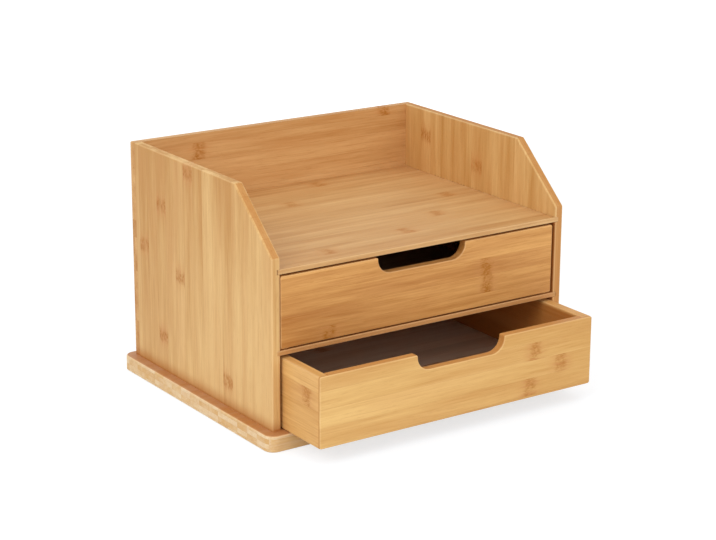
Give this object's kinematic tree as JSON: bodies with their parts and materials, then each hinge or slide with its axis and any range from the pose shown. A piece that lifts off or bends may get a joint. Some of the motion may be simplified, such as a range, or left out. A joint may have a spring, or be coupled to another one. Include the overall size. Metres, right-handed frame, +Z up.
{
  "type": "desk organizer with drawers",
  "caption": "Bamboo desk organizer: an open document tray with sloped side panels over stacked drawers with finger cut-outs, on a projecting base plate.",
  "frame": {"origin": "centre of the base plate's underside, on the table", "axes": "+X to the right along the width, +Y to the back, +Z up; the drawers open towards -Y"},
  "size_m": [0.35, 0.324, 0.232],
  "materials": {
    "panel_bamboo": "satin clear varnish",
    "base_bamboo": "satin clear varnish",
    "shelf_bamboo": "satin clear varnish",
    "front_bamboo": "satin clear varnish",
    "drawer_board_bamboo": "satin clear varnish",
    "drawer_bottom_bamboo": "satin clear varnish",
    "dowel_wood": "plain",
    "screw_steel": "zinc plated"
  },
  "bodies": {
    "carcass": {"base_plate": "base_bamboo", "left_side_panel": "panel_bamboo", "right_side_panel": "panel_bamboo", "back_panel": "panel_bamboo", "upper_shelf": "shelf_bamboo", "middle_shelf": "shelf_bamboo", "base_screws": "screw_steel", "corner_dowels": "dowel_wood"},
    "upper_drawer": {"upper_drawer_front": "front_bamboo", "upper_drawer_left_side": "drawer_board_bamboo", "upper_drawer_right_side": "drawer_board_bamboo", "upper_drawer_back": "drawer_board_bamboo", "upper_drawer_bottom": "drawer_bottom_bamboo"},
    "lower_drawer": {"lower_drawer_front": "front_bamboo", "lower_drawer_left_side": "drawer_board_bamboo", "lower_drawer_right_side": "drawer_board_bamboo", "lower_drawer_back": "drawer_board_bamboo", "lower_drawer_bottom": "drawer_bottom_bamboo"}
  },
  "joints": [
    {"name": "upper_drawer_slide", "type": "slide", "parent": "carcass", "child": "upper_drawer", "axis": [0, -1, 0], "range_m": [0, 0.18]},
    {"name": "lower_drawer_slide", "type": "slide", "parent": "carcass", "child": "lower_drawer", "axis": [0, -1, 0], "range_m": [-0.06, 0.12]}
  ]
}
